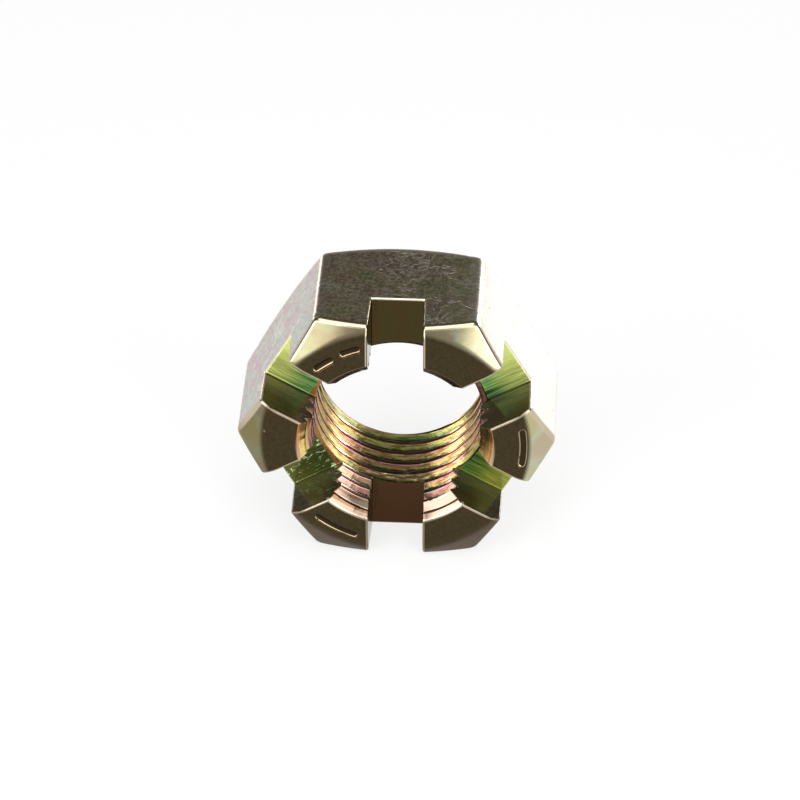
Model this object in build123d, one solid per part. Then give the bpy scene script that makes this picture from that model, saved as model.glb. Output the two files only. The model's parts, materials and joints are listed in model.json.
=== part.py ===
"""Slotted hexagon nut (castle nut) with a fine thread, cold formed in one piece.

The nut is drawn upright, standing on its bearing face, and laid on one hexagon flat at the end.
Laid down, the thread axis runs along Y, the bearing face lies at y = 0 and faces +Y, the crown
of six lugs points to -Y, and +Z is up. The origin is the centre of the bearing face.
All sizes are in millimetres and degrees.
"""

from build123d import *
import math
import os

# Hexagon
ACROSS_FLATS = 24.0  # wrench size
FLAT_COUNT = 6
CORNER_RADIUS = 0.9  # rounding along the six long corners
HEIGHT = 13.0  # bearing face to crown

# Turned chamfers that cut the hexagon's corners at both ends
CHAMFER_ANGLE = 30.0  # slope of both cones, measured from the end face
BEARING_FACE_INSET = 0.6  # from the flats in to the edge of the bearing face
CROWN_FACE_INSET = 0.7  # from the flats in to the edge of the crown face
CROWN_SHOULDER_RADIUS = 1.5  # soft bend between the crown face and its chamfer

# Thread, M16 x 1.5; the bore is drawn plain, at the thread's minor diameter
THREAD_DIAMETER = 16.0
THREAD_PITCH = 1.5
MINOR_ALLOWANCE = 0.2  # the bore is drilled this much over the basic minor diameter
COUNTERSINK_MARGIN = 1.0  # countersink mouth over the thread diameter, at both ends
COUNTERSINK_ANGLE = 90.0  # included angle

# Cotter pin slots: cuts straight across the crown, from flat to flat, which leave the lugs
SLOT_WIDTH = 4.5
SLOT_FLOOR_HEIGHT = 8.3  # bearing face to the floor of the slots
SLOT_DRAFT = 1.5  # each wall leans outward by this much

# Edges worn round by forming, tumbling and plating
CROWN_EDGE_RADIUS = 0.4  # where the crown chamfer meets the flats
SLOT_EDGE_RADIUS = 0.25  # round each slot, and round the countersink between the slots

BEYOND = 1.0  # how far a cutting tool runs past what it cuts

flats_radius = ACROSS_FLATS / 2
crown_face_radius = flats_radius - CROWN_FACE_INSET
bearing_face_radius = flats_radius - BEARING_FACE_INSET
sharp_thread_depth = THREAD_PITCH * math.cos(math.radians(30))  # 60 degree thread, flank to flank
bore_radius = (THREAD_DIAMETER + MINOR_ALLOWANCE) / 2 - sharp_thread_depth * 5 / 8
countersink_radius = (THREAD_DIAMETER + COUNTERSINK_MARGIN) / 2


def turned(points):
    """Solid of revolution about the thread axis, from (radius, height) points."""
    section = Plane.XZ * make_face(Polyline(*points, close=True))
    return revolve(section, Axis.Z)


def distance_from_axis(edge):
    return math.hypot(edge.center().X, edge.center().Y)


def hexagon_bar():
    """Hexagon bar with rounded corners, cut to the nut's height."""
    outline = RegularPolygon(flats_radius, FLAT_COUNT, major_radius=False)
    outline = fillet(outline.vertices(), CORNER_RADIUS)
    return extrude(outline, HEIGHT)


def chamfer_envelope():
    """Turned solid that trims the bar's corners to a cone at each end."""
    reach = flats_radius / math.cos(math.pi / FLAT_COUNT) + BEYOND
    slope = math.tan(math.radians(CHAMFER_ANGLE))
    envelope = turned(
        [
            (0, 0),
            (bearing_face_radius, 0),
            (reach, (reach - bearing_face_radius) * slope),
            (reach, HEIGHT - (reach - crown_face_radius) * slope),
            (crown_face_radius, HEIGHT),
            (0, HEIGHT),
        ]
    )
    crown_rim = envelope.edges().filter_by(GeomType.CIRCLE).group_by(Axis.Z)[-1]
    return fillet(crown_rim, CROWN_SHOULDER_RADIUS)


def formed_blank():
    """Chamfered hexagon blank, with the edge between crown chamfer and flats rounded."""
    blank = hexagon_bar() & chamfer_envelope()
    crown_edges = [
        edge
        for edge in blank.edges()
        if edge.center().Z > HEIGHT / 2
        and edge.geom_type != GeomType.LINE
        and distance_from_axis(edge) > crown_face_radius + CROWN_SHOULDER_RADIUS / 10
    ]
    return fillet(crown_edges, CROWN_EDGE_RADIUS)


def bore_tool():
    """Plain bore with a countersink at each end, as one solid to cut away."""
    slope = math.tan(math.radians(COUNTERSINK_ANGLE / 2))
    depth = (countersink_radius - bore_radius) / slope
    tool_radius = countersink_radius + BEYOND * slope
    return turned(
        [
            (0, -BEYOND),
            (tool_radius, -BEYOND),
            (bore_radius, depth),
            (bore_radius, HEIGHT - depth),
            (tool_radius, HEIGHT + BEYOND),
            (0, HEIGHT + BEYOND),
        ]
    )


def slot_tools():
    """Drafted cuts, each through two opposite flats."""
    depth = HEIGHT - SLOT_FLOOR_HEIGHT + BEYOND
    floor = SLOT_WIDTH / 2
    mouth = floor + depth * math.tan(math.radians(SLOT_DRAFT))
    section = Polyline((-floor, 0), (floor, 0), (mouth, depth), (-mouth, depth), close=True)
    half_length = flats_radius + BEYOND
    cut = Pos(0, 0, SLOT_FLOOR_HEIGHT) * extrude(Plane.XZ * make_face(section), half_length, both=True)
    turn = 360 / FLAT_COUNT
    return [Rot(0, 0, turn * index) * cut for index in range(FLAT_COUNT // 2)]


def castle_nut():
    """Bored blank, cut into lugs, with the outer edges of the slots and the crown rounded."""
    bored = formed_blank() - bore_tool()
    slots = slot_tools()
    nut = bored - slots
    mouths = [
        edge
        for edge in new_edges(bored, *slots, combined=nut)
        if distance_from_axis(edge) > countersink_radius
    ]
    lug_rims = [
        edge
        for edge in nut.edges().filter_by(GeomType.CIRCLE).group_by(Axis.Z)[-1]
        if math.isclose(edge.radius, countersink_radius)
    ]
    return fillet(mouths + lug_rims, SLOT_EDGE_RADIUS).solid()


laid_down = Plane.XZ * castle_nut()
laid_down.label = "castle_nut"
os.makedirs("parts", exist_ok=True)
export_step(laid_down, "parts/castle_nut.step")
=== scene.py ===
"""Looks of the castle nut: its threaded, stamped and worn surface, its plating, and the studio."""

import itertools
import json
import math
from types import SimpleNamespace

import bpy
import numpy as np
from mathutils import Matrix, Vector


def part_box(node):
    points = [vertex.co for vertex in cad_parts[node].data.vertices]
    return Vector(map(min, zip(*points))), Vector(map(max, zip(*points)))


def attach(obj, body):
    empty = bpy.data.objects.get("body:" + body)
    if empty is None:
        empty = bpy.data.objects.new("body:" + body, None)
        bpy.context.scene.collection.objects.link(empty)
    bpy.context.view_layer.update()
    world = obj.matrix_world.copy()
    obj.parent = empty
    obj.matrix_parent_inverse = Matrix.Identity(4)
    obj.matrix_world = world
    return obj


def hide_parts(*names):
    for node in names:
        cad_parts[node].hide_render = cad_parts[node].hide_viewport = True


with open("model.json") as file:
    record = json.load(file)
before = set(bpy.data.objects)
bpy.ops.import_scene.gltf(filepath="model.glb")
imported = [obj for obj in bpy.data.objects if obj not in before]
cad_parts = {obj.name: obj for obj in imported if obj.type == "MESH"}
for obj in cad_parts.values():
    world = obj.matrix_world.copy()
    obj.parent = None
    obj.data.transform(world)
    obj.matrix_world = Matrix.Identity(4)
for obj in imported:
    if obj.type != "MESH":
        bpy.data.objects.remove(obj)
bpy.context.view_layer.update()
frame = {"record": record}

# ---------------------------------------------------------------- sizes, in millimetres
MM = 0.001
NODE = "castle_nut"
low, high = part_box(NODE)
mounts = {mount["name"]: mount for mount in frame["record"]["mounts"]}

# Hexagon and its chamfers
FLATS_RADIUS = (high[2] - low[2]) / 2 / MM
HEIGHT = (high[1] - low[1]) / MM
CORNER_RADIUS = 0.9
BEARING_FACE_INSET = 0.6  # from the flats in to the edge of the bearing face
CROWN_FACE_INSET = 0.7  # from the flats in to the edge of the crown face
BEARING_FACE_RADIUS = FLATS_RADIUS - BEARING_FACE_INSET
CROWN_FACE_RADIUS = FLATS_RADIUS - CROWN_FACE_INSET
CHAMFER = math.radians(30)
SIXTH = math.pi / 3  # angle from one lug, flat or slot to the next

# Thread, and the bore that it is cut into
BORE_RADIUS = mounts["thread"]["dims"]["r_mm"]
THREAD_PITCH = 1.5
THREAD_RADIUS = 8.0
THREAD_FLANK = math.radians(30)
THREAD_ROOT_WIDTH = THREAD_PITCH / 8
THREAD_START = -0.02  # moves the whole helix along the bore
COUNTERSINK_RADIUS = THREAD_RADIUS + 0.5

# Slots
SLOT_HALF_WIDTH = 2.25
SLOT_FLOOR = 8.3
SLOT_DRAFT = math.radians(1.5)

# Plain dashes stamped into the lugs: angle of the middle in degrees, radius, length, half width
DASHES = [
    (0, 11.1, 3.2, 0.5),
    (240, 10.5, 3.7, 0.32),
    (112, 10.3, 1.3, 0.36),
    (127, 10.2, 1.5, 0.36),
]
DASH_DEPTH = 0.26

# Rounding of each crease: it acts where the distances of its two faces differ by less than this
BEARING_RIM_ROUNDING = 0.06  # bearing face to bearing chamfer
BEARING_EDGE_ROUNDING = 0.3  # bearing chamfer to flats
CROWN_RIM_ROUNDING = 0.4  # crown face to crown chamfer
CROWN_EDGE_ROUNDING = 0.26  # crown chamfer to flats
SLOT_FOOT_ROUNDING = 0.08  # slot floor to slot wall
SLOT_EDGE_ROUNDING = 0.24
BORE_EDGE_ROUNDING = 0.06
THREAD_ROOT_ROUNDING = 0.12
THREAD_CREST_ROUNDING = 0.1
DASH_EDGE_ROUNDING = 0.08

# Wear
WAVINESS = 0.015  # how far the forged surface dips
WAVE_SIZE = 2.5
WAVE_SEED = 1
DENTS = 60
DENT_RADII = (0.15, 0.45)  # smallest and largest
DENT_DEPTH = 0.16  # share of the dent's radius
DENT_SEED = 7
DENTS_PAST_COUNTERSINK = 1.0  # nearest that a dent's middle comes to the countersink
DENTS_PAST_SLOT = 0.3  # and to a slot

# Mesh
CELL = 0.075  # grid step of the surface before it is thinned out
TRIANGLES = 180_000  # what is left after thinning
JUST_INSIDE = -1e-4  # field value of a grid point that is filled
LEAST_STEEPNESS = 0.25  # limits the steps where the field is nearly level
TWIN_SHIFT = 0.1  # how far points that lie on one another move towards their neighbours


# ---------------------------------------------------------------- shape, as distance fields
# A point is (x, z) across the nut and `rise`, its height over the bearing face. Each field is
# negative inside. All lengths are in millimetres.
def soft_max(a, b, reach):
    """The larger distance, with the crease between the two rounded over that reach."""
    gap = np.maximum(reach - np.abs(a - b), 0.0)
    return np.maximum(a, b) + gap * gap / (4.0 * reach)


def hexagon(x, z):
    """Rounded hexagon with a flat on top and at the bottom."""
    inner = FLATS_RADIUS - CORNER_RADIUS
    across, up = np.abs(x), np.abs(z)
    fold = 2.0 * np.minimum(up * 0.5 - across * math.sin(SIXTH), 0.0)
    across = across + fold * math.sin(SIXTH)
    up = up - fold * 0.5
    half_side = inner * math.tan(SIXTH / 2)
    beside = across - np.clip(across, -half_side, half_side)
    above = up - inner
    return np.hypot(beside, above) * np.sign(above) - CORNER_RADIUS


def blank(x, z, rise):
    """Hexagon with a cone chamfer at both ends."""
    radius = np.hypot(x, z)
    bearing_cone = (radius - BEARING_FACE_RADIUS) * math.sin(CHAMFER) - rise * math.cos(CHAMFER)
    crown_cone = (radius - CROWN_FACE_RADIUS) * math.sin(CHAMFER) - (HEIGHT - rise) * math.cos(CHAMFER)
    bearing_end = soft_max(-rise, bearing_cone, BEARING_RIM_ROUNDING)
    crown_end = soft_max(rise - HEIGHT, crown_cone, CROWN_RIM_ROUNDING)
    body = soft_max(hexagon(x, z), bearing_end, BEARING_EDGE_ROUNDING)
    return soft_max(body, crown_end, CROWN_EDGE_ROUNDING)


def slots(x, z, rise):
    """The six slots, folded onto one that runs along z."""
    angle = np.arctan2(x, z)
    angle = (angle + SIXTH / 2) % SIXTH - SIXTH / 2
    across = np.abs(np.hypot(x, z) * np.sin(angle))
    wall = (across - SLOT_HALF_WIDTH - (rise - SLOT_FLOOR) * math.tan(SLOT_DRAFT)) * math.cos(SLOT_DRAFT)
    return soft_max(wall, SLOT_FLOOR - rise, SLOT_FOOT_ROUNDING)


def thread_groove(x, z, rise):
    """Right-hand 60 degree groove that rises towards the crown as it turns."""
    turn = np.arctan2(z, x) / (2 * math.pi)
    along = (rise - THREAD_START - turn * THREAD_PITCH) % THREAD_PITCH
    from_groove = np.abs(along - THREAD_PITCH / 2)
    radius = np.hypot(x, z)
    half_width = THREAD_ROOT_WIDTH / 2 + (THREAD_RADIUS - radius) * math.tan(THREAD_FLANK)
    flank = (from_groove - half_width) * math.cos(THREAD_FLANK)
    return soft_max(radius - THREAD_RADIUS, flank, THREAD_ROOT_ROUNDING)


def bore(x, z, rise):
    """Threaded bore with a 90 degree countersink at each end."""
    radius = np.hypot(x, z)
    cone = (radius + np.minimum(rise, HEIGHT - rise) - COUNTERSINK_RADIUS) * math.sqrt(0.5)
    drilled = np.minimum(radius - BORE_RADIUS, cone)
    return -soft_max(-drilled, -thread_groove(x, z, rise), THREAD_CREST_ROUNDING)


def dashes(x, z, rise):
    """Stamped grooves with a round section, each along a short arc about the axis."""
    radius, angle = np.hypot(x, z), np.arctan2(z, x)
    nearest = np.full(np.broadcast(radius, rise).shape, np.inf)
    for middle, dash_radius, length, half_width in DASHES:
        section = (half_width**2 + DASH_DEPTH**2) / (2 * DASH_DEPTH)
        turn = (angle - math.radians(middle) + math.pi) % (2 * math.pi) - math.pi
        past_end = np.maximum(np.abs(turn) * dash_radius - length / 2, 0.0)
        above = rise - HEIGHT + DASH_DEPTH - section
        distance = np.sqrt(past_end**2 + (radius - dash_radius) ** 2 + above**2) - section
        nearest = np.minimum(nearest, distance)
    return nearest


def nut(x, z, rise):
    """The whole nut."""
    lugs = soft_max(blank(x, z, rise), -slots(x, z, rise), SLOT_EDGE_ROUNDING)
    stamped = soft_max(lugs, -dashes(x, z, rise), DASH_EDGE_ROUNDING)
    return soft_max(stamped, -bore(x, z, rise), BORE_EDGE_ROUNDING)


# ---------------------------------------------------------------- wear
HASH_STEPS = np.array([73856093, 19349663, 83492791])  # large odd numbers, one for each axis
HASH_SEED_STEP = 2654435761
HASH_ROUNDS = ((13, 1274126177), (16, 2246822519))
HASH_MASK = 0xFFFFFFFF


def hashed(cell, seed):
    """Number from 0 to 1 for each grid cell, without any visible order."""
    key = cell @ HASH_STEPS + seed * HASH_SEED_STEP
    for shift, factor in HASH_ROUNDS:
        key = (key ^ (key >> shift)) * factor & HASH_MASK
    return key / HASH_MASK


def smooth_noise(points, size, seed):
    """Random value from 0 to 1 that changes smoothly over that size."""
    cell = np.floor(points / size).astype(np.int64)
    part = points / size - cell
    part = part * part * (3 - 2 * part)
    total = np.zeros(len(points))
    for corner in itertools.product((0, 1), repeat=3):
        weight = np.prod(np.where(corner, part, 1 - part), axis=1)
        total += weight * hashed(cell + corner, seed)
    return total


def wear(points, dents):
    """How far forging, handling and plating have lowered the surface at each point."""
    depth = WAVINESS * smooth_noise(points, WAVE_SIZE, WAVE_SEED)
    for centre, radius in dents:
        closeness = np.maximum(1 - ((points - centre) ** 2).sum(axis=1) / radius**2, 0)
        depth += closeness**2 * radius * DENT_DEPTH
    return depth


def chosen_dents(points):
    """Centre and radius of each dent, clear of the bore and the slots."""
    random = np.random.default_rng(DENT_SEED)
    from_slots = slots(points[:, 0], points[:, 2], points[:, 1])
    radius = np.hypot(points[:, 0], points[:, 2])
    clear_of_bore = radius > COUNTERSINK_RADIUS + DENTS_PAST_COUNTERSINK
    outside = np.flatnonzero(clear_of_bore & (from_slots > DENTS_PAST_SLOT))
    centres = points[random.choice(outside, DENTS)]
    return [(centre, random.uniform(*DENT_RADII)) for centre in centres]

# ---------------------------------------------------------------- from field to mesh
def grid_axes():
    """Places of the grid's layers along x, rise and z, which run a little past the nut."""
    margin = 3 * CELL
    return [
        np.arange(low[0] / MM - margin, high[0] / MM + margin, CELL),
        np.arange(-margin, HEIGHT + margin, CELL),
        np.arange(low[2] / MM - margin, high[2] / MM + margin, CELL),
    ]


def sampled(field, axes):
    """The field at every grid point, as an array over x, rise and z."""
    across, rises, up = (axis.astype(np.float32) for axis in axes)
    values = np.empty((len(across), len(rises), len(up)), np.float32)
    for index, rise in enumerate(rises):
        values[:, index, :] = field(across[:, None], up[None, :], rise)
    return values


def untangle(values):
    """Fills grid points until the solid nowhere touches itself along an edge only.

    It does so where a square of the grid has two corners inside, across from each other.
    """
    tangled = True
    while tangled:
        tangled = False
        for axis in range(3):
            layers = np.moveaxis(values, axis, 0)
            a, b = layers[:, :-1, :-1], layers[:, 1:, :-1]
            c, d = layers[:, :-1, 1:], layers[:, 1:, 1:]
            crossed = ((a < 0) == (d < 0)) & ((b < 0) == (c < 0)) & ((a < 0) != (b < 0))
            for corner in (a, b, c, d):
                corner[crossed & (corner >= 0)] = JUST_INSIDE
            tangled = tangled or bool(crossed.any())
    return values


def crossed_edges(values, axis, strides):
    """Where the surface crosses the grid edges along one axis, and the four cells round each."""
    inside, flat = values < 0, values.ravel()
    steps = values.shape[axis]
    starts_inside = np.take(inside, range(steps - 1), axis)
    ends_inside = np.take(inside, range(1, steps), axis)
    at = np.argwhere(starts_inside != ends_inside)
    start = at @ strides
    first, second = flat[start], flat[start + strides[axis]]
    crossing = at.astype(float)
    crossing[:, axis] += first / (first - second)
    step_u, step_v = strides[(axis + 1) % 3], strides[(axis + 2) % 3]
    ring = np.stack([start, start - step_u, start - step_u - step_v, start - step_v], axis=1)
    leaving = first >= 0
    ring[leaving] = ring[leaving][:, ::-1]
    return crossing, ring


def surface_net(values):
    """One point in each grid cell that the surface crosses, and a quad round each crossed edge.

    The points are in grid steps, and the quads' normals point out of the solid.
    """
    strides = np.array([values.shape[1] * values.shape[2], values.shape[2], 1])
    crossings, quads = zip(*(crossed_edges(values, axis, strides) for axis in range(3)))
    quads = np.concatenate(quads)
    crossings = np.repeat(np.concatenate(crossings), 4, axis=0)
    used, index = np.unique(quads.ravel(), return_inverse=True)
    count = np.bincount(index)
    points = np.stack([np.bincount(index, crossings[:, k]) / count for k in range(3)], axis=1)
    return points, np.searchsorted(used, quads)


def new_nut(points):
    """The nut's field at points in (x, rise, z) millimetres, before any wear."""
    return nut(points[:, 0], points[:, 2], points[:, 1])


def slope_of(field, points, step=0.01):
    """Slope of the field at each point, by central differences."""
    slopes = []
    for axis in range(3):
        offset = np.zeros(3)
        offset[axis] = step
        slopes.append((field(points + offset) - field(points - offset)) / (2 * step))
    return np.stack(slopes, axis=1)


def normals_of(field, points, least):
    """Normals out of the solid, of length 1 where the slope isn't under that least one."""
    slopes = slope_of(field, points)
    return slopes / np.maximum(np.linalg.norm(slopes, axis=1), least)[:, None]


def settle(field, points, rounds=3):
    """Moves each point down the slope onto the surface, in steps of half a grid cell at most."""
    for _ in range(rounds):
        slope = slope_of(field, points)
        steepness = np.maximum((slope * slope).sum(axis=1), LEAST_STEEPNESS)
        miss = np.clip(field(points), -CELL / 2, CELL / 2)
        points = points - slope * (miss / steepness)[:, None]
    return points


def turned(vectors):
    """From (x, rise, z) to the row frame's axes, or back."""
    return np.stack([vectors[:, 0], -vectors[:, 1], vectors[:, 2]], axis=1)


def new_mesh(name, points, quads):
    """Mesh in the row frame, from points in (x, rise, z) millimetres."""
    quads = quads[:, ::-1]  # the row frame mirrors this one
    mesh = bpy.data.meshes.new(name)
    mesh.vertices.add(len(points))
    mesh.vertices.foreach_set("co", (turned(points) * MM).ravel())
    mesh.loops.add(quads.size)
    mesh.loops.foreach_set("vertex_index", quads.ravel())
    mesh.polygons.add(len(quads))
    mesh.polygons.foreach_set("loop_start", np.arange(0, quads.size, 4))
    mesh.update()
    mesh.validate()
    return mesh


def thin_out(piece):
    """Leaves the piece with fewer faces, most of them where the surface bends."""
    thin = piece.modifiers.new("thin", "DECIMATE")
    thin.ratio = TRIANGLES / (2 * len(piece.data.polygons))
    thin.use_collapse_triangulate = True
    depsgraph = bpy.context.evaluated_depsgraph_get()
    mesh = bpy.data.meshes.new_from_object(piece.evaluated_get(depsgraph), depsgraph=depsgraph)
    piece.modifiers.clear()
    piece.data = mesh
    mesh.name = piece.name


def part_twins(mesh, points):
    """Moves points that share a thousandth of a millimetre towards their neighbours' middle."""
    ends = np.empty(len(mesh.edges) * 2, np.int32)
    mesh.edges.foreach_get("vertices", ends)
    ends = ends.reshape(-1, 2)
    own, other = np.concatenate([ends, ends[:, ::-1]]).T
    count = np.bincount(own)
    middle = np.stack([np.bincount(own, points[other, k]) / count for k in range(3)], axis=1)
    _, index, copies = np.unique(points.round(3), axis=0, return_inverse=True, return_counts=True)
    twins = copies[index] > 1
    points[twins] += TWIN_SHIFT * (middle - points)[twins]
    return points


def refine(mesh, field):
    """Puts the vertices back on the field's surface and shades them with its slope."""
    places = np.empty(len(mesh.vertices) * 3)
    mesh.vertices.foreach_get("co", places)
    points = turned(places.reshape(-1, 3)) / MM
    points = part_twins(mesh, settle(field, points))
    mesh.vertices.foreach_set("co", np.clip(turned(points) * MM, low, high).ravel())
    mesh.polygons.foreach_set("use_smooth", np.ones(len(mesh.polygons), bool))
    mesh.normals_split_custom_set_from_vertices(turned(normals_of(field, points, least=1e-6)))
    mesh.update()


def nut_piece():
    """The nut's surface: netted from its field, worn, thinned out and put back where it belongs."""
    axes = grid_axes()
    points, quads = surface_net(untangle(sampled(nut, axes)))
    points = np.array([axis[0] for axis in axes]) + points * CELL
    points = settle(new_nut, points)
    dents = chosen_dents(points)
    points = points - normals_of(new_nut, points, least=0.1) * wear(points, dents)[:, None]
    piece = bpy.data.objects.new("castle_nut_surface", new_mesh("castle_nut_surface", points, quads))
    bpy.context.scene.collection.objects.link(piece)
    thin_out(piece)
    refine(piece.data, lambda at: new_nut(at) + wear(at, dents))
    return piece


# ---------------------------------------------------------------- shorthand for material nodes
MIX_FIRST, MIX_SECOND, MIX_RESULT = 6, 7, 2  # the Mix node's sockets that carry colours


class Wire:
    """The output of a node. Arithmetic on it adds Math nodes to the same tree."""

    def __init__(self, socket):
        self.socket = socket

    def __add__(self, other):
        return math_node("ADD", self, other)

    def __sub__(self, other):
        return math_node("SUBTRACT", self, other)

    def __rsub__(self, other):
        return math_node("SUBTRACT", other, self)

    def __mul__(self, other):
        return math_node("MULTIPLY", self, other)

    def __abs__(self):
        return math_node("ABSOLUTE", self)


def feed(target, value):
    """Links a wire to a node's input, or sets that input to a plain value."""
    if isinstance(value, Wire):
        target.id_data.links.new(value.socket, target)
    else:
        target.default_value = value


def new_node(wire, kind):
    """Node of that kind, in the wire's tree."""
    return wire.socket.id_data.nodes.new(kind)


def math_node(operation, *values):
    node = new_node(next(value for value in values if isinstance(value, Wire)), "ShaderNodeMath")
    node.operation = operation
    for target, value in zip(node.inputs, values):
        feed(target, value)
    return Wire(node.outputs[0])


def between(value, start, end):
    """0 at the start, 1 at the end, and smooth from one to the other; the start may be the larger."""
    node = new_node(value, "ShaderNodeMapRange")
    node.interpolation_type = "SMOOTHSTEP"
    feed(node.inputs["Value"], value)
    feed(node.inputs["From Min"], start)
    feed(node.inputs["From Max"], end)
    return Wire(node.outputs["Result"])


def mixed(node, blend_type, share, first, second):
    """Sets up a Mix node for colours."""
    node.data_type = "RGBA"
    node.blend_type = blend_type
    feed(node.inputs["Factor"], share)
    feed(node.inputs[MIX_FIRST], first)
    feed(node.inputs[MIX_SECOND], second)
    return Wire(node.outputs[MIX_RESULT])


def blend(share, first, second):
    """Colour that goes from the first to the second as the share goes from 0 to 1."""
    return mixed(new_node(share, "ShaderNodeMix"), "MIX", share, first, second)


def multiply(first, second):
    return mixed(new_node(first, "ShaderNodeMix"), "MULTIPLY", 1.0, first, second)


def ramp(value, *stops):
    """Colour along a row of (place, colour) stops."""
    node = new_node(value, "ShaderNodeValToRGB")
    feed(node.inputs[0], value)
    elements = node.color_ramp.elements
    while len(elements) < len(stops):
        elements.new(0.5)
    for element, (place, colour) in zip(elements, stops):
        element.position = place
        element.color = colour
    return Wire(node.outputs[0])


def vector(x, y, z):
    node = new_node(x, "ShaderNodeCombineXYZ")
    for target, value in zip(node.inputs, (x, y, z)):
        feed(target, value)
    return Wire(node.outputs[0])


def noise(place, scale, detail=2.0, roughness=0.5, distortion=0.0):
    """Noise from 0 to 1, with `scale` features to a millimetre."""
    node = new_node(place, "ShaderNodeTexNoise")
    feed(node.inputs["Vector"], place)
    node.inputs["Scale"].default_value = scale
    node.inputs["Detail"].default_value = detail
    node.inputs["Roughness"].default_value = roughness
    node.inputs["Distortion"].default_value = distortion
    return Wire(node.outputs["Fac"])


def rgb(red, green, blue):
    """Linear colour from 8-bit screen values."""
    channels = [value / 255 for value in (red, green, blue)]
    return [c / 12.92 if c <= 0.04045 else ((c + 0.055) / 1.055) ** 2.4 for c in channels] + [1.0]


# ---------------------------------------------------------------- plating: where a point is
def add_places(at, tree):
    """Where on the nut a point is, in millimetres."""
    coordinates = tree.nodes.new("ShaderNodeTexCoord")
    scaled = tree.nodes.new("ShaderNodeVectorMath")
    scaled.operation = "SCALE"
    tree.links.new(coordinates.outputs["Object"], scaled.inputs[0])
    scaled.inputs["Scale"].default_value = 1 / MM
    at.place = Wire(scaled.outputs[0])
    split = tree.nodes.new("ShaderNodeSeparateXYZ")
    feed(split.inputs[0], at.place)
    at.x, y, at.z = (Wire(output) for output in split.outputs)
    at.rise = y * -1.0
    at.radius = math_node("SQRT", at.x * at.x + at.z * at.z)
    at.turn = math_node("ARCTAN2", at.z, at.x)

    # Folded onto the slot that runs along z, which is also the middle of a flat
    angle = math_node("ARCTAN2", at.x, at.z)
    folded = math_node("WRAP", angle, SIXTH / 2, -SIXTH / 2)
    at.sector = (angle - folded) * (1 / SIXTH)
    at.across = math_node("SINE", folded) * at.radius
    at.along = math_node("COSINE", folded) * at.radius


def add_depths(at):
    """How deep a point lies under each surface of the nut, in millimetres."""
    past_wall = abs(at.across) - SLOT_HALF_WIDTH - (at.rise - SLOT_FLOOR) * math.tan(SLOT_DRAFT)
    at.from_slot = math_node("MAXIMUM", past_wall, SLOT_FLOOR - at.rise)
    at.from_flat = FLATS_RADIUS - at.along
    from_cone = (HEIGHT - at.rise) * math.cos(CHAMFER) - (at.radius - CROWN_FACE_RADIUS) * math.sin(CHAMFER)
    from_top = HEIGHT - at.rise
    at.cone_over_top = from_cone - from_top
    at.from_crown = math_node("MINIMUM", from_cone, from_top)
    from_back_cone = at.rise * math.cos(CHAMFER) - (at.radius - BEARING_FACE_RADIUS) * math.sin(CHAMFER)
    at.from_bearing = math_node("MINIMUM", from_back_cone, at.rise)


# The masks run from 0 to 1. Each border is given by two places, in millimetres, and is smooth
# from the first to the second. Some borders by x and z paint light and shade on one side of the
# nut; others give a side the plating and the wear that it has.
def add_surface_masks(at):
    """Which of the nut's surfaces a point belongs to."""
    at.slot = between(at.from_slot, 0.12, 0.05)
    at.slot_floor = at.slot * between(at.rise, SLOT_FLOOR + 0.12, SLOT_FLOOR + 0.04)
    at.inner = between(at.radius, COUNTERSINK_RADIUS + 0.06, COUNTERSINK_RADIUS - 0.06)
    at.countersink = at.inner * between(abs(at.rise - HEIGHT / 2), HEIGHT / 2 - 1.35, HEIGHT / 2 - 1.15)
    at.crown = between(at.from_crown, 0.45, 0.3)
    at.chamfer = between(at.cone_over_top, -0.06, -0.34)
    at.flats = (1.0 - at.crown) * (1.0 - at.inner) * (1.0 - at.slot)
    sunk = between(at.from_crown, 0.12, 0.16) * between(at.from_flat, 0.5, 0.7)
    at.dash = sunk * at.crown * (1.0 - at.slot) * (1.0 - at.inner) * between(at.from_slot, 0.3, 0.4)


def add_side_masks(at):
    """Which side of the nut a point is on."""
    # The lowest part of the nut, which also takes painted shade on its chamfers and edges
    at.underneath = between(at.z, -6.0, -8.5)
    at.side_slot = between(abs(at.x), 2.6, 3.6)
    # Painted light and shade by side, from 0 on the left to 1 on the right
    at.rubbed = between(at.x, 1.0, 12.5)
    at.aside = between(abs(at.x), 5.5, 8.0) * between(at.from_bearing, 0.0, 0.4)


def add_wear_and_highlight_masks(at):
    """Edges worn pale and partly painted as highlights, the slot floor that the cutter tore, and what of
    the slots is dull.
    """
    # Painted highlight: the crown edges pale only on the upper half, the bearing edges not on the far right
    crown_edge = between(at.from_flat + at.from_crown, 0.36, 0.2) * between(at.z, -2.0, 2.0)
    bearing_edge = between(at.from_flat + at.from_bearing, 0.6, 0.3) * between(at.x, 8.0, 5.0)
    outside_bore = between(at.radius, COUNTERSINK_RADIUS - 0.2, COUNTERSINK_RADIUS + 0.1)
    slot_edge = between(at.from_slot, 0.24, 0.13) * (1.0 - at.slot) * outside_bore
    slot_rim = at.slot * between(math_node("MINIMUM", at.from_flat, at.from_crown), 0.2, 0.08)
    # Painted highlight: the countersink rim pale only on its lower part
    rim = between(abs(at.radius - COUNTERSINK_RADIUS), 0.16, 0.08) * at.crown * between(at.z, 1.0, -3.0)
    edges = math_node("MAXIMUM", crown_edge, bearing_edge)
    for edge in (slot_edge, slot_rim, rim):
        edges = math_node("MAXIMUM", edges, edge)
    # Painted shade: edges on the lower side half as pale
    at.edge = edges * (1.0 - at.underneath * 0.5)
    at.torn = between(at.x + at.z, -9.0, -10.4) * at.slot
    at.dull = at.slot * at.side_slot * (at.slot_floor * 0.2 + 0.45) * (1.0 - at.torn * at.slot_floor * 0.6)


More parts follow.
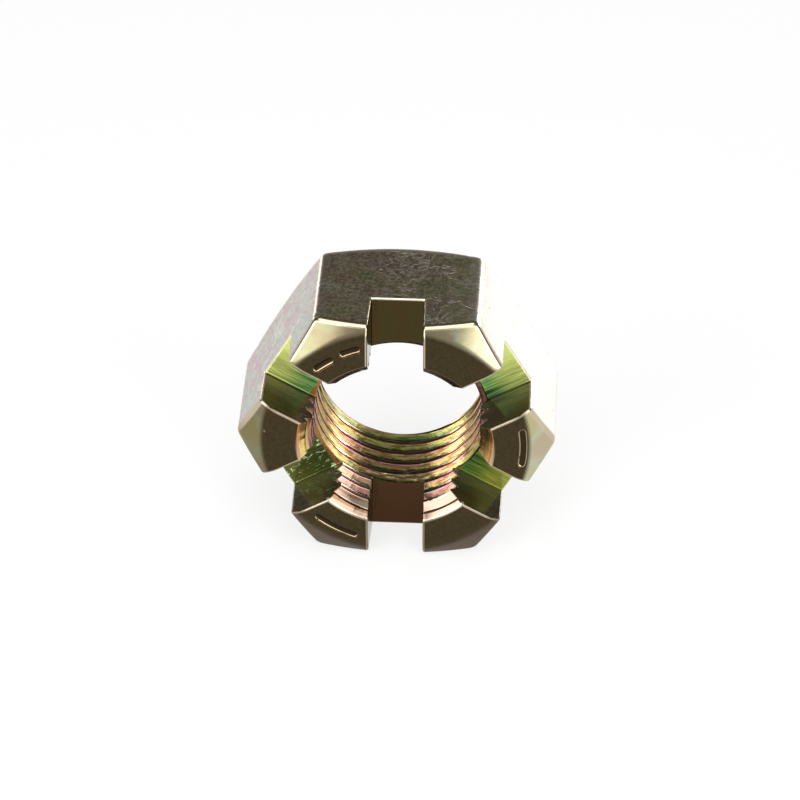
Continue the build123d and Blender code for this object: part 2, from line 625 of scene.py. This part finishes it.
def add_patterns(at):
    """Noise that colours and bumps share."""
    at.blotches = noise(at.place, 0.3, 2.0, 0.5)
    at.grain = noise(at.place, 3.4, 3.0, 0.6)
    lines = at.across * 2.6 + at.rise * 2.0
    at.streaks = noise(vector(lines, at.along * 0.06, at.sector * 7.3), 1.0, 3.0, 0.6)
    crinkle = abs(noise(at.place, 0.7, 2.0, 0.55, 0.6) - 0.5)
    nicked = between(noise(at.place, 0.3, 1.0, 0.5), 0.32, 0.5) * between(at.x, -6.0, 2.0)
    on_top = at.flats * (1.0 - at.aside) * between(at.from_bearing, 0.2, 0.6)
    at.nicks = between(crinkle, 0.05, 0.0) * (nicked * on_top)


def surface_wires(tree):
    """What the plating needs to know about each point of the surface."""
    at = SimpleNamespace()
    add_places(at, tree)
    add_depths(at)
    add_surface_masks(at)
    add_side_masks(at)
    add_wear_and_highlight_masks(at)
    add_patterns(at)
    return at

# ---------------------------------------------------------------- plating: colours
WHITE = rgb(255, 255, 255)
ROUGHNESS = 0.14  # in the slots; the other surfaces add to it
GRAIN_HEIGHT = 0.008  # heights of the bumps, in millimetres
NICK_HEIGHT = 0.018
STREAK_HEIGHT = 0.02


def flat_colour(at):
    """Thin pale plating with pink and grey clouds, with painted light that turns the flats on the right
    nearly white.
    """
    clouds = ramp(
        at.blotches,
        (0.34, rgb(192, 191, 156)),
        (0.46, rgb(206, 197, 164)),
        (0.54, rgb(197, 177, 163)),
        (0.62, rgb(206, 197, 168)),
        (0.7, rgb(214, 210, 190)),
    )
    pale_clouds = ramp(
        noise(at.place, 0.42, 3.0, 0.6),
        (0.36, rgb(196, 206, 204)),
        (0.48, rgb(206, 207, 203)),
        (0.53, rgb(212, 178, 192)),
        (0.57, rgb(204, 204, 204)),
        (0.66, rgb(220, 226, 218)),
    )
    stain = between(at.grain, 0.66, 0.74) * between(at.blotches, 0.5, 0.6)
    # Painted light: the flats on the right nearly white, with a few brown stains
    rubbed = blend(stain, rgb(252, 250, 246), rgb(150, 140, 104))
    clouds = blend(at.aside, clouds, blend(at.rubbed * 0.9, pale_clouds, rubbed))
    # The grain fades under that painted light on the right
    grainy = (1.0 - between(at.grain, 0.35, 0.65)) * (1.0 - at.aside * 0.4) * (1.0 - at.rubbed * 0.8)
    return multiply(clouds, blend(grainy, rgb(249, 245, 238), rgb(186, 181, 168)))


def crown_colour(at):
    """Dark pressed crown, partly painted shade, with a paler chamfer and bright rims round the stamped
    dashes.
    """
    # Painted light on the chamfers to the right, and painted shade on the chamfers of the lower lugs
    chamfer = blend(at.rubbed, rgb(130, 128, 102), rgb(188, 190, 164))
    chamfer = blend(at.underneath, chamfer, rgb(84, 72, 54))
    tints = (0.38, rgb(255, 240, 214)), (0.5, rgb(255, 255, 250)), (0.62, rgb(250, 232, 228))
    chamfer = multiply(chamfer, ramp(at.blotches, *tints))
    # The crown face's dark colour is partly its own and partly painted shade
    face = ramp(at.grain, (0.35, rgb(60, 52, 35)), (0.65, rgb(72, 61, 41)))
    # Painted shade deep in each dash, under its pale rim
    dash = blend(between(at.from_crown, 0.16, 0.2), rgb(196, 170, 136), rgb(54, 45, 31))
    return blend(at.dash, blend(at.chamfer, face, chamfer), dash)


def side_floor_colour(at):
    """Floor of a slanting slot: broached, green inside and pale yellow towards the flat."""
    outward = between(at.along, 8.0, 10.8)
    green = blend(outward, rgb(146, 204, 122), rgb(226, 236, 140))
    broached = ramp(
        at.streaks,
        (0.38, rgb(76, 76, 68)),
        (0.43, rgb(196, 212, 196)),
        (0.47, rgb(96, 92, 78)),
        (0.5, WHITE),
        (0.53, rgb(130, 140, 116)),
        (0.58, rgb(255, 255, 240)),
        (0.64, rgb(170, 176, 130)),
    )
    low_side = between(at.across * at.x, -4.0, 10.0)
    green = multiply(green, blend(outward * (0.8 - low_side * 0.5), broached, rgb(248, 250, 236)))
    # Painted shade: the floors of the lower slanting slots darker and yellower
    green = multiply(green, blend(between(at.z, 1.0, -1.0), WHITE, rgb(190, 184, 132)))
    specks = noise(vector(at.across * 2.2, at.along * 1.1, at.sector), 1.0, 3.0, 0.7, 1.5)
    green = blend(at.torn * 0.8, green, rgb(66, 70, 32))
    green = blend(at.torn * between(specks, 0.58, 0.64), green, rgb(216, 244, 190))
    return blend(between(at.along, 7.7, 7.45), green, rgb(150, 108, 60))


def slot_wall_colour(at):
    """Wall of a slot, with painted shade: darker towards the crown, on the right, and at the foot of the
    upper slanting slots.
    """
    streaked = (0.38, rgb(84, 92, 68)), (0.5, rgb(98, 92, 62)), (0.62, rgb(84, 76, 48))
    # Painted shade: the walls on the right a little darker
    wall = multiply(ramp(at.streaks, *streaked), blend(at.rubbed, WHITE, rgb(236, 236, 230)))
    upper = between(at.rise, SLOT_FLOOR + 0.5, SLOT_FLOOR + 3.0)
    shade = blend(upper, WHITE, rgb(196, 180, 166))
    # Painted shade in the crease at the foot of the upper slanting slots
    foot = between(at.rise, SLOT_FLOOR + 0.5, SLOT_FLOOR + 0.3) * between(at.z, -1.0, 1.0)
    return multiply(wall, blend(foot * at.side_slot, shade, rgb(134, 112, 116)))


def slot_colour(at):
    """Cut metal with broaching lines; the slots above and below the bore are dark and brown."""
    dark = ramp(at.streaks, (0.35, rgb(62, 60, 33)), (0.65, rgb(72, 54, 31)))
    dark = blend(at.underneath, dark, rgb(70, 48, 31))
    floor = blend(at.side_slot, dark, side_floor_colour(at))
    return blend(at.slot_floor, slot_wall_colour(at), floor)


def thread_film(at, lines, depth):
    """Iridescent film from green over gold to pink."""
    patches = noise(at.place, 0.2, 2.0, 0.5)
    order = at.rise * 0.028 + (lines - 0.5) * 0.35 + (patches - 0.5) * 0.8 - depth * 0.35 + 0.44
    return ramp(
        order,
        (0.2, rgb(112, 130, 104)),
        (0.3, rgb(150, 152, 98)),
        (0.4, rgb(184, 170, 110)),
        (0.5, rgb(184, 146, 100)),
        (0.58, rgb(182, 126, 112)),
        (0.68, rgb(170, 118, 124)),
        (0.78, rgb(120, 126, 104)),
    )


def thread_colour(at):
    """Iridescent thread with a dark line of painted shade along each root, ragged under the lowest slot."""
    phase = at.rise - at.turn * (THREAD_PITCH / (2 * math.pi))
    lines = noise(vector(phase * 7.0, at.radius * 5.0, at.turn * 1.3), 1.0, 3.0, 0.6)
    specks = noise(vector(phase * 5.0, at.radius * 5.0, at.turn * 7.0), 1.0, 3.0, 0.65)
    depth = (at.radius - BORE_RADIUS) * (1 / (THREAD_RADIUS - BORE_RADIUS))
    film = thread_film(at, lines, depth)
    film = multiply(film, blend(between(specks, 0.36, 0.56), rgb(186, 170, 150), WHITE))
    # Painted shade at the bottom of the bore
    lowest = between(abs(at.x), 6.0, 2.0) * between(at.z, -4.0, -6.0)
    film = multiply(film, blend(lowest, WHITE, rgb(176, 192, 176)))
    # Painted shade: a dark line along each root
    root = between(depth + (lines - 0.5) * 0.2, 0.76, 0.92)
    film = blend(root, film, rgb(26, 27, 18))
    under_slot = between(at.from_slot, 1.6, 1.3) * between(at.rise, SLOT_FLOOR + 0.1, SLOT_FLOOR)
    ragged = ramp(specks, (0.42, rgb(74, 70, 44)), (0.56, rgb(104, 98, 58)), (0.62, rgb(206, 196, 150)))
    film = blend(under_slot * at.underneath, film, ragged)
    low_left = between(at.z, -4.2, -5.4) * between(at.x, -2.0, -2.8)
    low_left = low_left * between(at.rise, SLOT_FLOOR - 0.9, SLOT_FLOOR + 0.1)
    film = blend(low_left * (1.0 - root) * 0.35, film, rgb(244, 198, 180))
    # Painted shade at the upper ends of the side lugs' thread
    lug_end = between(at.z, 0.8, 1.8) * between(abs(at.x), 6.2, 6.8)
    lug_end = lug_end * between(at.rise, SLOT_FLOOR - 0.3, SLOT_FLOOR + 0.1)
    return multiply(film, blend(lug_end, WHITE, rgb(140, 108, 80)))


def countersink_colour(at):
    """Turned rings, golden at the sides and brown above and below, with painted shade on the right."""
    rings = noise(vector(at.rise * 2.4, at.x * 0.1, at.z * 0.1), 1.0, 1.5, 0.5)
    side = ramp(rings, (0.4, rgb(168, 156, 92)), (0.5, rgb(236, 214, 138)), (0.6, rgb(216, 150, 98)))
    # Painted shade on the right side
    side = multiply(side, blend(at.rubbed, WHITE, rgb(204, 180, 170)))
    low_side = ramp(rings, (0.42, rgb(160, 134, 118)), (0.5, rgb(164, 150, 132)), (0.58, rgb(136, 104, 80)))
    return blend(at.aside, low_side, side)


def plating_colour(at):
    """The colour of the flats, with that of each other surface laid over it."""
    colour = blend(at.crown, flat_colour(at), crown_colour(at))
    colour = blend(at.nicks * 0.5, colour, rgb(236, 236, 226))
    colour = blend(at.inner, colour, thread_colour(at))
    colour = blend(at.countersink, colour, countersink_colour(at))
    colour = blend(at.slot, colour, slot_colour(at))
    # Worn edges, pale partly as painted highlight
    lip = between(at.rise, SLOT_FLOOR + 0.12, SLOT_FLOOR)
    return blend(at.edge * 0.85, colour, blend(lip, rgb(206, 188, 164), rgb(246, 232, 210)))


def plated_material():
    """Yellow-passivated zinc: dark on the pressed crown, pale on the flats, iridescent where cut, with
    painted light and shade in its colour.
    """
    material = bpy.data.materials.new("yellow_zinc")
    material.use_nodes = True
    tree = material.node_tree
    shader = tree.nodes["Principled BSDF"]
    at = surface_wires(tree)
    feed(shader.inputs["Base Color"], plating_colour(at))
    feed(shader.inputs["Metallic"], 1.0 - at.dull)

    roughness = at.flats * 0.14 + at.crown * 0.02 + (1.0 - at.slot) * 0.04 + ROUGHNESS
    feed(shader.inputs["Roughness"], roughness + (at.grain - 0.5) * 0.1)
    height = at.flats * at.grain * GRAIN_HEIGHT + at.nicks * NICK_HEIGHT
    bump = tree.nodes.new("ShaderNodeBump")
    bump.inputs["Strength"].default_value = 1.0
    bump.inputs["Distance"].default_value = MM
    feed(bump.inputs["Height"], height + at.streaks * at.slot * STREAK_HEIGHT)
    tree.links.new(bump.outputs["Normal"], shader.inputs["Normal"])
    return material


# ---------------------------------------------------------------- camera, in millimetres and degrees
CAMERA_AZIMUTH = 3.17  # to the right of straight in front of the crown
CAMERA_ELEVATION = 35.4
CAMERA_DISTANCE = 381.0
CAMERA_ASIDE = 0.17  # the camera aims this far to the right of the axis
CAMERA_ABOVE = 1.17  # and this far above it, both across its view
LENS = 197.2


def direction(azimuth, elevation):
    """From the nut, by degrees to the right of straight in front of the crown, and up."""
    azimuth, elevation = math.radians(azimuth), math.radians(elevation)
    return Vector(
        (
            math.sin(azimuth) * math.cos(elevation),
            -math.cos(azimuth) * math.cos(elevation),
            math.sin(elevation),
        )
    )


def add_camera():
    """Long lens in front of the crown, which looks down on it."""
    back = direction(CAMERA_AZIMUTH, CAMERA_ELEVATION)
    right = direction(CAMERA_AZIMUTH + 90, 0)
    up = back.cross(right)
    aim = Vector((0, -SLOT_FLOOR, 0)) + right * CAMERA_ASIDE + up * CAMERA_ABOVE
    data = bpy.data.cameras.new("camera")
    data.lens = LENS
    data.clip_start, data.clip_end = 0.01, 10
    camera = bpy.data.objects.new("camera", data)
    axes = Matrix((right, up, back)).transposed().to_4x4()
    camera.matrix_world = Matrix.Translation((aim + back * CAMERA_DISTANCE) * MM) @ axes
    bpy.context.scene.collection.objects.link(camera)
    bpy.context.scene.camera = camera


# ---------------------------------------------------------------- studio, in metres
# Each lamp has its middle's azimuth and elevation in degrees, its width and height, and how bright
# its face is.
LAMP_DISTANCE = 0.4
LAMPS = {
    "left": (-47.0, 19.5, 0.27, 0.29, 3.9),
    "right": (46.0, 19.5, 0.27, 0.29, 3.1),
    "front": (-2.0, 22.0, 0.32, 0.2, 0.65),
    "back_left": (-144.0, 3.5, 0.1, 0.07, 5.0),
    "back_right": (146.0, 3.5, 0.2, 0.07, 12.0),
    "overhead": (0.0, 76.0, 0.46, 0.5, 2.4),
}
WORLD_LEVEL = 0.13

FLOOR_RINGS = [(0.6, 0.0), (1.0, 0.02), (1.4, 0.08), (1.7, 0.16), (2.0, 0.28)]  # radius and lift
FLOOR_TURNS = 96
FLOOR_PAINT = 0.9
FLOOR_GLOW = 0.75  # share of plain white in what the camera sees of the floor


def add_lamp(name, azimuth, elevation, width, height, brightness):
    towards = direction(azimuth, elevation)
    data = bpy.data.lights.new(name, "AREA")
    data.shape = "RECTANGLE"
    data.size, data.size_y = width, height
    data.energy = brightness * math.pi * width * height
    lamp = bpy.data.objects.new(name, data)
    lamp.location = towards * LAMP_DISTANCE
    lamp.rotation_mode = "QUATERNION"
    lamp.rotation_quaternion = towards.to_track_quat("Z", "Y")
    bpy.context.scene.collection.objects.link(lamp)


def floor_material():
    """White paint; what the camera sees, also in the metal, is lifted towards plain white."""
    material = bpy.data.materials.new("floor")
    material.use_nodes = True
    tree = material.node_tree
    tree.nodes.clear()
    ray = tree.nodes.new("ShaderNodeLightPath")
    seen = Wire(ray.outputs["Is Camera Ray"]) + Wire(ray.outputs["Is Glossy Ray"])
    seen = seen + Wire(ray.outputs["Is Transmission Ray"])
    paint = tree.nodes.new("ShaderNodeBsdfDiffuse")
    paint.inputs["Color"].default_value = (FLOOR_PAINT, FLOOR_PAINT, FLOOR_PAINT, 1)
    white = tree.nodes.new("ShaderNodeEmission")
    mixed_shader = tree.nodes.new("ShaderNodeMixShader")
    feed(mixed_shader.inputs[0], math_node("MINIMUM", seen, 1.0) * FLOOR_GLOW)
    tree.links.new(paint.outputs[0], mixed_shader.inputs[1])
    tree.links.new(white.outputs[0], mixed_shader.inputs[2])
    output = tree.nodes.new("ShaderNodeOutputMaterial")
    tree.links.new(mixed_shader.outputs[0], output.inputs["Surface"])
    return material


def add_floor():
    """Round white floor whose rim curves up a little, all round."""
    points = []
    for radius, lift in FLOOR_RINGS:
        for index in range(FLOOR_TURNS):
            angle = 2 * math.pi * index / FLOOR_TURNS
            points.append((radius * math.cos(angle), radius * math.sin(angle), low[2] + lift))
    faces = [tuple(range(FLOOR_TURNS))]
    for start in range(0, len(points) - FLOOR_TURNS, FLOOR_TURNS):
        for index in range(FLOOR_TURNS):
            a, b = start + index, start + (index + 1) % FLOOR_TURNS
            faces.append((a, a + FLOOR_TURNS, b + FLOOR_TURNS, b))
    mesh = bpy.data.meshes.new("floor")
    mesh.from_pydata(points, [], faces)
    mesh.polygons.foreach_set("use_smooth", [True] * len(faces))
    mesh.materials.append(floor_material())
    floor = bpy.data.objects.new("floor", mesh)
    bpy.context.scene.collection.objects.link(floor)


def add_world():
    world = bpy.data.worlds.new("world")
    world.use_nodes = True
    sky = world.node_tree.nodes["Background"]
    sky.inputs["Color"].default_value = (WORLD_LEVEL, WORLD_LEVEL, WORLD_LEVEL, 1)
    bpy.context.scene.world = world

# ---------------------------------------------------------------- scene
add_camera()
piece = nut_piece()
piece.data.materials.clear()
piece.data.materials.append(plated_material())
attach(piece, "root")
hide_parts(NODE)

add_floor()
add_world()
for lamp_name, lamp in LAMPS.items():
    add_lamp(lamp_name, *lamp)
bpy.context.scene.view_settings.view_transform = "Standard"
